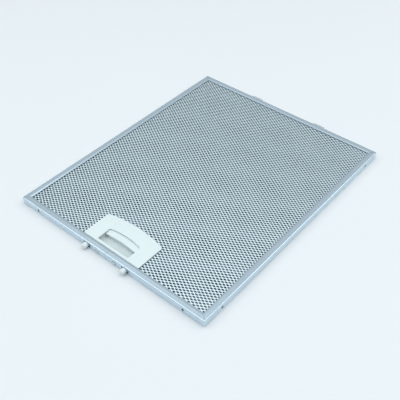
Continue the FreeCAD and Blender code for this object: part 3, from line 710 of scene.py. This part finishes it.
def strip_profile(strip, steps=8):
    """Section of the strip as (inset from the outer face, height): up the outside, down the inside."""
    turn = np.linspace(0, QUARTER_TURN, steps + 1)
    fold = strip.flange - strip.lip
    lip = np.array([(strip.flange, strip.drop), (fold + strip.guard, strip.drop * strip.guard / strip.lip),
                    (fold, 0.0), (fold - strip.guard, 0.0)])
    arc = strip.bend * stacked(1 - np.sin(turn), 1 - np.cos(turn))
    outer = np.concatenate([arc[:1] + (strip.guard, 0.0), arc, arc[-1:] + (0.0, strip.guard)])
    inner = outer * (1 - strip.gauge / strip.bend) + strip.gauge
    outside = np.concatenate([lip, outer])
    inside = np.concatenate([lip + (0.0, strip.gauge), inner])
    mirror = (1.0, -1.0)
    rise = (0.0, HEIGHT)
    return np.concatenate([outside, (outside * mirror + rise)[::-1], inside * mirror + rise, inside[::-1]])


def folded_strip(strip, steps=6):
    """The section carried round the frame, in quarter circles of radius corner - inset at the corners."""
    profile = strip_profile(strip)
    inset = profile[:, 0][:, None]
    start = QUARTER_TURN * np.arange(4)
    turn = (start[:, None] + np.linspace(0, QUARTER_TURN, steps)).ravel()
    sign_x = np.repeat([1, -1, -1, 1], steps)
    sign_y = np.repeat([1, 1, -1, -1], steps)
    centre = np.maximum(inset, strip.corner)
    radius = np.maximum(strip.corner - inset, 0)
    x = sign_x * (HALF_WIDTH - centre) + radius * np.cos(turn)
    y = sign_y * (HALF_DEPTH - centre) + radius * np.sin(turn)
    return outward(raised(stacked(x, y), profile[:, 1:]), [grid_faces(len(profile), len(turn), True, True)])


def strip_cutters(strip, latch, sides=24):
    """Holes of the walls, the lances behind the tongues, the mitre lines and the butt seam."""
    reach = strip.gauge + strip.bend
    turn = np.linspace(0, FULL_TURN, sides, endpoint=False)
    hole = stacked(np.cos(turn), np.sin(turn)) * strip.drain / 2
    sill = strip.window_low
    under = strip.tongue_top - strip.gauge
    lance_low = under - (STRIP_HIGH.y - HALF_DEPTH) + strip.gauge

    def through(outline, wall, axes):
        points, faces = slab(outline, wall - reach, wall + reach)
        return stacked(*axes(*points.T)), faces

    tools = []
    for side in SIDES:
        slot = rectangle(latch.prong_spacing / 2 * side, strip.slot_width, MIDDLE - strip.slot_height / 2,
                         MIDDLE + strip.slot_height / 2, strip.slot_corner, steps=8)
        window = rectangle(latch.lug_spacing / 2 * side, strip.window_width, sill, sill + strip.window_height,
                           strip.window_corner, steps=3)
        lance = rectangle(strip.tongue_spacing / 2 * side, strip.tongue_width, lance_low, under,
                          strip.window_corner, steps=3)
        end = hole + (side * (HALF_WIDTH - strip.drain_inset), MIDDLE)
        flank = hole + (side * (HALF_DEPTH - strip.drain_inset), MIDDLE)
        tools += [through(outline, HALF_DEPTH, to_front) for outline in (slot, window, end)]
        tools += [through(outline, -HALF_DEPTH, to_front) for outline in (lance, end)]
        for wall in SIDES:
            tools.append(through(flank, wall * HALF_WIDTH, to_side))
            tools.append(mitre_line(strip, side, wall))
    inner_edge = strip.flange - HALF_DEPTH
    return [*tools, block(0.0, strip.seam, -HALF_DEPTH - reach, inner_edge + reach, -reach, HEIGHT + reach)]


def mitre_line(strip, side, end):
    """Thin diagonal block through both flanges at a corner, from the bend to past the inner edge."""
    along = np.array([side, end])
    across = np.array([side, -end]) * strip.seam / 2
    near = along * (np.array([HALF_WIDTH, HALF_DEPTH]) - strip.flange - strip.bend)
    far = along * (np.array([HALF_WIDTH, HALF_DEPTH]) - strip.bend)
    outline = np.array([near - across, far - across, far + across, near + across])
    if side * end < 0:
        outline = outline[::-1]
    return slab(outline, -strip.bend, HEIGHT + strip.bend)


def tongue_shape(strip, side, steps=8):
    """Lanced tongue: z falls evenly past the root; its half width ends in a quarter circle at the tip."""
    tip = STRIP_HIGH.y
    radius = strip.tongue_round
    turn = np.linspace(0, QUARTER_TURN, steps + 1)[1:]
    along = np.concatenate([[HALF_DEPTH - strip.gauge], np.linspace(HALF_DEPTH, tip - radius, steps),
                            tip - radius * np.cos(turn)])
    past = np.maximum(along - (tip - radius), 0)
    half = strip.tongue_width / 2 - radius + np.sqrt(np.maximum(radius ** 2 - past ** 2, 0))
    fall = strip.tongue_slope * np.maximum(along - HALF_DEPTH, 0) / (tip - HALF_DEPTH)
    x = strip.tongue_spacing / 2 * side + half[:, None] * np.linspace(-1, 1, steps + 1)
    plan = stacked(x, along[:, None])
    return thickened(raised(plan, (strip.tongue_top - fall)[:, None]), [grid_faces(*x.shape)], strip.gauge)


def notch_edges(x, latch, border=0.0):
    """Edges of the notch that the housing takes from every sheet, moved out by a border.

    The sides lie at x = -side and x = side, and the rear edge is y = rear + rise (1 - (x / side)^2).
    """
    side = COVER_HIGH.x - latch.overlap + latch.notch_gap + border
    rear = COVER_HIGH.y - latch.rise - latch.overlap + latch.notch_gap + border
    return side, rear + latch.rise * (1 - (x / side) ** 2)


def trimmed(points, low, high, latch, border):
    """Points past a sheet's edges or in its notch moved onto them, or short of them by a border."""
    x = np.clip(points[:, 0], low.x + border, high.x - border)
    y = np.clip(points[:, 1], low.y + border, high.y - border)
    side, rear = notch_edges(x, latch, border)
    inside = (np.abs(x) < side) & (y < rear)
    nearer_side = side - np.abs(x) < rear - y
    x = np.where(inside & nearer_side, np.sign(x) * side, x)
    y = np.where(inside & ~nearer_side, rear, y)
    return stacked(x, y, points[:, 2])


def expanded(low, high, mesh, latch, gauge, stretch=1.0, layer=0):
    """Expanded sheet as diamonds on a staggered lattice.

    Each diamond runs from four lattice corners at one height to the four corners of its opening; those lie
    lean * y / half_short lower, so that every strand leans as it does in stretched sheet. What passes the
    edges is moved onto them; the openings stop a gauge short, which leaves a border strand.
    """
    pitch = np.array([mesh.long_way, mesh.short_way])
    opening = (mesh.opening_long, mesh.opening_short)
    lean = (high.z - low.z - gauge) / 2 * mesh.lean
    half = pitch * stretch / 2
    shift = pitch * LAYER_SHIFT * layer
    edge = np.array([high.x, high.y])
    last = (edge / half).astype(int) + SPARE_STEPS
    across, along = np.meshgrid(*[np.arange(-count, count + 1) for count in last], indexing="ij")
    steps = stacked(across, along)[(across + along) % 2 == 0]
    centre = steps * half + shift
    side, rear = notch_edges(centre[:, 0], latch)
    in_notch = (np.abs(centre[:, 0]) < side) & (centre[:, 1] < rear)
    kept = (np.abs(centre) < edge).all(axis=1) & ~in_notch
    around = (steps[kept][:, None] + COMPASS).reshape(-1, 2)
    lattice, rim = np.unique(around, axis=0, return_inverse=True)
    rim = rim.reshape(-1, len(COMPASS))
    level = high.z - lean
    corners = raised((lattice * half + shift)[:, None], level)
    openings = raised(centre[kept][:, None] + COMPASS * half * opening, level - lean * COMPASS[:, 1])
    inner = np.arange(len(openings)).reshape(rim.shape) + len(lattice)
    ring = stacked(rim, np.roll(rim, -1, axis=1), np.roll(inner, -1, axis=1), inner).reshape(-1, 4)
    border = np.repeat([0.0, gauge], [len(corners), len(openings)])
    points = trimmed(np.concatenate([corners, openings]), low, high, latch, border)
    return thickened(points, [ring], gauge)


def grip_front(latch):
    """Y of the front corners of the grip bar."""
    return COVER_LOW.y + latch.well_strip + latch.window - latch.bar


def bezel_outline(latch):
    """Plan of the bezel and of the cover behind it."""
    return arched(COVER_HIGH.x, COVER_LOW.y, COVER_HIGH.y - latch.rise, latch.rise, latch.front_corner,
                  latch.corner)


def housing_shape(latch, steps=5):
    """Bezel with its window, finger well, walls of the slider chamber, front rail with lugs, spring boss."""
    front = COVER_LOW.y
    rear = COVER_HIGH.y - latch.rise
    bottom = HOUSING_LOW.z
    top = HOUSING_HIGH.z
    under = top - latch.plate
    edge = latch.edge
    fused = under + edge  # what the bezel carries reaches into it
    small = edge / 2  # rounding of the rail and the lugs
    wall = latch.wall
    well = latch.well / 2
    well_front = front + latch.well_strip
    floor_end = grip_front(latch) + latch.floor_reach
    window = arched(well, well_front, well_front + latch.window, latch.window_rise, latch.window_corner,
                    latch.window_corner)
    bezel = plate_with_window(bezel_outline(latch), window, under, top, edge)

    foot = np.linspace(0, QUARTER_TURN, steps + 1)
    ledge = latch.well_ledge
    toe = ledge - latch.well_round
    fillet = stacked(toe + latch.well_round * np.sin(foot),
                     latch.well_floor + latch.well_round * (1 - np.cos(foot)))
    section = np.concatenate([[(wall, fused), (wall, bottom), (toe, bottom)], fillet, [(ledge, fused)]])
    ends = [(-well, floor_end), (-well, well_front), (well, well_front), (well, floor_end)]
    tub = carried(rounded(ends, [0, latch.window_corner, latch.window_corner, 0]), section)
    base = block(0.0, 2 * (well + edge), well_front - edge, floor_end, bottom, latch.well_floor)

    block_half = COVER_HIGH.x - latch.overlap
    block_rear = rear - latch.overlap
    chamber_front = front + wall
    route = np.concatenate([[(-block_half, chamber_front)], arch(block_half, block_rear, latch.rise),
                            [(block_half, chamber_front)]])
    shell = carried(route, np.array([(0.0, bottom), (wall, bottom), (wall, fused), (0.0, fused)]))

    prong = latch.prong_spacing / 2
    gate = latch.channel / 2
    rail_front = latch.rail_setback - HALF_DEPTH
    spans = ((-block_half, -prong - gate), (gate - prong, prong - gate), (prong + gate, block_half))
    rails = [block((left + right) / 2, right - left, rail_front, chamber_front + edge, bottom, under + small,
                   edge, small) for left, right in spans]
    lug_top = latch.lug_low + latch.lug_height
    lugs = [block(latch.lug_spacing / 2 * side, latch.lug, HOUSING_LOW.y, rail_front + 2 * edge,
                  latch.lug_low, lug_top, edge, small) for side in SIDES]
    seat = SPRING_HIGH.y + latch.seat_gap
    boss = block(0.0, latch.boss, seat, block_rear + wall, bottom, fused)
    return combined("UNION", bezel, tub, base, shell, *rails, *lugs, boss, peg_shape(latch, seat, -1))


def peg_shape(latch, seat, way, sides=24):
    """Round spring peg on a seat, with a bevelled end."""
    radius = latch.peg / 2
    bevel = latch.edge / 2
    stations = [(0.0, -bevel), (radius, -bevel), (radius, latch.peg_length - bevel),
                (radius - bevel, latch.peg_length), (0.0, latch.peg_length)]
    return lathed([(r, seat + way * y) for r, y in stations], 0.0, SPRING_AXIS, sides)


def cover_shape(latch):
    """Back plate with the bezel's outline, and two ribs that locate it."""
    edge = latch.edge
    wall = latch.wall
    front = COVER_LOW.y
    rear = COVER_HIGH.y - latch.rise
    top = HOUSING_LOW.z - latch.seat_gap
    rib = COVER_HIGH.x - latch.overlap - wall - latch.rib_gap - wall / 2
    rib_rear = rear - latch.overlap - 2 * wall
    ribs = [block(side * rib, wall, front + 2 * wall, rib_rear, top - edge, COVER_HIGH.z, edge, edge / 4)
            for side in SIDES]
    return combined("UNION", slab(bezel_outline(latch), COVER_LOW.z, top, edge), *ribs)


def slider_shape(latch, lip_steps=16):
    """Grip bar plate, push lip, two arms, round prongs with domed noses, spring peg."""
    edge = latch.edge
    apart = edge / 4  # keeps faces of the plate and the arms from lying in one plane
    front = grip_front(latch)
    rear = SLIDER_HIGH.y
    bar = latch.well / 2 - latch.bar_gap
    shoulder = front + latch.floor_reach + latch.seat_gap
    prong = latch.prong_spacing / 2
    out = prong + latch.arm / 2 - apart
    low = latch.bar_top - latch.bar_plate
    wings = [(bar, shoulder), (out, shoulder), (out, rear), (-out, rear), (-out, shoulder), (-bar, shoulder)]
    plate = slab(np.concatenate([arch(bar, front, latch.bar_rise), wings]), low, latch.bar_top, edge)

    lip = bar - latch.lip_inset
    lip_front = front + latch.lip_setback
    seat = lip_front + latch.lip_depth
    lip_edge = arch(lip, lip_front, latch.bar_rise / 2, lip_steps)
    push = slab(np.concatenate([lip_edge, [(lip, seat), (-lip, seat)]]), latch.well_floor + latch.lip_gap,
                low + edge, edge)

    arms = []
    for side in SIDES:
        arms.append(block(prong * side, latch.arm, latch.prong - HALF_DEPTH, rear - apart,
                          MIDDLE - latch.arm_height / 2, MIDDLE + latch.arm_height / 2, edge, edge / 2))
        arms.append(prong_shape(latch, prong * side))
    return combined("UNION", plate, push, *arms, peg_shape(latch, seat, 1))


def prong_shape(latch, x, steps=12, sides=48):
    """Shank and nose turned about Y; the nose ends in r = R sin a, y = tip + dome (1 - cos a)."""
    root = latch.prong - HALF_DEPTH + latch.edge
    step = -HALF_DEPTH - latch.prong_step
    shank = latch.shank / 2
    nose = latch.prong / 2
    bevel = latch.edge / 2
    turn = np.linspace(QUARTER_TURN, 0, steps + 1)
    dome = stacked(nose * np.sin(turn), SLIDER_LOW.y + latch.dome * (1 - np.cos(turn)))
    collar = np.array([(0.0, root), (shank, root), (shank, step), (nose - bevel, step), (nose, step - bevel)])
    return lathed(np.concatenate([collar, dome]), x, MIDDLE, sides)


def spring_shape(latch, turn_steps=28, sides=10):
    """Round wire on a helix with flat ends: centre (R cos a, y, R sin a), a tube about it."""
    wire = latch.wire / 2
    radius = (SPRING_HIGH.x - SPRING_LOW.x) / 2 - wire
    coil = np.linspace(0, FULL_TURN * latch.turns, latch.turns * turn_steps + 1)
    start = SPRING_LOW.y + wire
    run = SPRING_HIGH.y - wire - start
    along = start + run * np.clip((coil / coil[-1] - latch.closed_end) / (1 - 2 * latch.closed_end), 0, 1)
    out = stacked(np.cos(coil), 0.0, np.sin(coil))
    up = (0.0, 1.0, 0.0)
    centre = radius * out + stacked(0.0, along, SPRING_AXIS)
    turn = np.linspace(0, FULL_TURN, sides, endpoint=False)[None, :, None]
    points = centre[:, None] + wire * (np.cos(turn) * out[:, None] + np.sin(turn) * up)
    return outward(points.reshape(-1, 3), tube_faces(len(coil), sides))


# Operators.


class FILTER_OT_frame(bpy.types.Operator):
    """Fold the strip round the filter, punch its holes and lance its tongues"""

    bl_idname = "grease_filter.frame"
    bl_label = "Folded frame"

    def execute(self, context):
        strip = context.scene.filter_strip
        latch = context.scene.filter_latch
        finish = strip_finish(context.scene.filter_finish, strip)
        punched = combined("DIFFERENCE", folded_strip(strip), *strip_cutters(strip, latch))
        shape = combined("UNION", punched, *[tongue_shape(strip, side) for side in SIDES])
        placed("folded_frame", "frame", shape, finish)
        return {"FINISHED"}


class FILTER_OT_meshes(bpy.types.Operator):
    """Stretch the two outer sheets of expanded mesh"""

    bl_idname = "grease_filter.meshes"
    bl_label = "Outer meshes"

    def execute(self, context):
        mesh = context.scene.filter_mesh
        finish = mesh_finish(context.scene.filter_finish, mesh)
        sheet = expanded(SHEET_LOW, SHEET_HIGH, mesh, context.scene.filter_latch, mesh.strand)
        placed("front_expanded_mesh", "front_mesh", sheet, finish)
        under = upside_down(sheet, SHEET_HIGH.z, UNDER_LOW.z)
        placed("rear_expanded_mesh", "rear_mesh", under, finish)
        return {"FINISHED"}


class FILTER_OT_layers(bpy.types.Operator):
    """Lay the foil layers between the outer sheets"""

    bl_idname = "grease_filter.layers"
    bl_label = "Inner layers"

    def execute(self, context):
        mesh = context.scene.filter_mesh
        latch = context.scene.filter_latch
        finish = foil_finish(context.scene.filter_finish)
        for index, node in enumerate(LAYERS):
            outermost = node in (LAYERS[0], LAYERS[-1])
            stretch = mesh.stretch * (1.0 if outermost else mesh.coarse)
            layer = expanded(*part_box(node), mesh, latch, mesh.foil, stretch, index)
            placed(f"foil_layer_{index + 1}", node, layer, finish)
        return {"FINISHED"}


class FILTER_OT_housing(bpy.types.Operator):
    """Mould the latch housing, the cover on its back and the grip that slides in it"""

    bl_idname = "grease_filter.housing"
    bl_label = "Latch housing"

    def execute(self, context):
        latch = context.scene.filter_latch
        colours = context.scene.filter_finish
        finish = plastic_finish(colours, "white_plastic")
        # the bezel's finish carries painted shade in its recesses, below the rounding of its top edges
        painted_shade_plastic = plastic_finish(colours, "white_plastic_recess", HOUSING_HIGH.z - latch.edge / 2)
        placed("latch_bezel", "latch_housing", housing_shape(latch), painted_shade_plastic)
        placed("latch_back_plate", "latch_cover", cover_shape(latch), finish)
        placed("latch_grip", "latch_slider", slider_shape(latch), finish, SLIDE_BODY)
        return {"FINISHED"}


class FILTER_OT_spring(bpy.types.Operator):
    """Wind the latch spring at its fitted length"""

    bl_idname = "grease_filter.spring"
    bl_label = "Latch spring"

    def execute(self, context):
        finish = steel_finish(context.scene.filter_finish)
        coil = spring_shape(context.scene.filter_latch)
        spring = placed("coil_spring", "latch_spring", coil, finish)
        travel = next(max(joint["range_m"]) for joint in FRAME["joints"] if joint["name"] == SLIDE_JOINT)
        fitted = SPRING_HIGH.y - SPRING_LOW.y
        1 - travel / fitted
        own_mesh(spring)
        return {"FINISHED"}


class FILTER_OT_stage(bpy.types.Operator):
    """Lay the floor, hang the lights and set up the camera"""

    bl_idname = "grease_filter.stage"
    bl_label = "Stage"

    def execute(self, context):
        scene = context.scene
        stage = scene.filter_stage
        self.floor(stage, scene.filter_finish)
        self.room(scene, stage)
        for name, (place, size) in SOFTBOXES.items():
            self.softbox(stage, name, place, size)
        self.camera(scene, stage)
        return {"FINISHED"}

    def floor(self, stage, finish):
        """Flat square about the origin."""
        corners = rectangle(0.0, 2 * stage.extent, -stage.extent, stage.extent)
        mesh = mesh_of("floor", (raised(corners[None], 0.0), [np.arange(len(corners))[None]]))
        mesh.materials.append(floor_finish(finish))
        floor = new_object("floor", mesh)

    def room(self, scene, stage):
        """Light from all round, which grows evenly from the horizon to the ceiling."""
        world = bpy.data.worlds.new("studio")
        world.use_nodes = True
        tree = world.node_tree
        background = tree.nodes["Background"]
        background.inputs["Color"].default_value = shade(stage.tint)
        up = Wire(tree).node("ShaderNodeTexCoord", {}, {}, "Generated").axes()[2]
        tree.links.new((up * stage.room + stage.horizon).socket, background.inputs["Strength"])
        scene.world = world
        scene.view_settings.view_transform = "Standard"

    def softbox(self, stage, name, place, size):
        """Rectangular area light that hangs level over the stage."""
        light = bpy.data.lights.new(f"{name}_softbox", "AREA")
        light.shape = "RECTANGLE"
        light.size, light.size_y = size
        light.energy = getattr(stage, name)
        light.color = stage.tint
        new_object(light.name, light).location = place

    def camera(self, scene, stage):
        """Camera that looks at its target from an azimuth and an elevation."""
        level = math.cos(stage.elevation)
        back = Vector((math.sin(stage.azimuth) * level, -math.cos(stage.azimuth) * level,
                       math.sin(stage.elevation)))
        camera = bpy.data.cameras.new("camera")
        camera.lens = stage.lens
        camera.sensor_width = IMAGE_FRAME
        camera.clip_start = CLIP_START
        viewer = new_object("camera", camera)
        viewer.location = Vector((stage.target_x, stage.target_y, HEIGHT)) + back * stage.distance
        viewer.rotation_euler = (-back).to_track_quat("-Z", "Y").to_euler()
        scene.camera = viewer


class FILTER_PT_pieces(bpy.types.Panel):
    """Lists the pieces in the sidebar"""

    bl_idname = "FILTER_PT_pieces"
    bl_label = "Grease filter"
    bl_space_type = "VIEW_3D"
    bl_region_type = "UI"
    bl_category = "Filter"

    def draw(self, context):
        for operator in OPERATORS:
            self.layout.operator(operator.bl_idname)
        for name in GROUPS:
            box = self.layout.box()
            settings = getattr(context.scene, name)
            for item in settings.__annotations__:
                box.prop(settings, item)


GROUPS = {
    "filter_strip": FILTER_PG_strip,
    "filter_mesh": FILTER_PG_mesh,
    "filter_latch": FILTER_PG_latch,
    "filter_finish": FILTER_PG_finish,
    "filter_stage": FILTER_PG_stage,
}
OPERATORS = (FILTER_OT_frame, FILTER_OT_meshes, FILTER_OT_layers, FILTER_OT_housing, FILTER_OT_spring,
             FILTER_OT_stage)


def register():
    for item in (*GROUPS.values(), *OPERATORS, FILTER_PT_pieces):
        bpy.utils.register_class(item)
    for name, group in GROUPS.items():
        setattr(bpy.types.Scene, name, bpy.props.PointerProperty(type=group))


def unregister():
    for name in GROUPS:
        delattr(bpy.types.Scene, name)
    for item in (FILTER_PT_pieces, *reversed(OPERATORS), *reversed(GROUPS.values())):
        bpy.utils.unregister_class(item)


def main():
    register()
    bpy.ops.grease_filter.frame()
    bpy.ops.grease_filter.meshes()
    bpy.ops.grease_filter.layers()
    bpy.ops.grease_filter.housing()
    bpy.ops.grease_filter.spring()
    bpy.ops.grease_filter.stage()


if __name__ == "__main__":
    main()
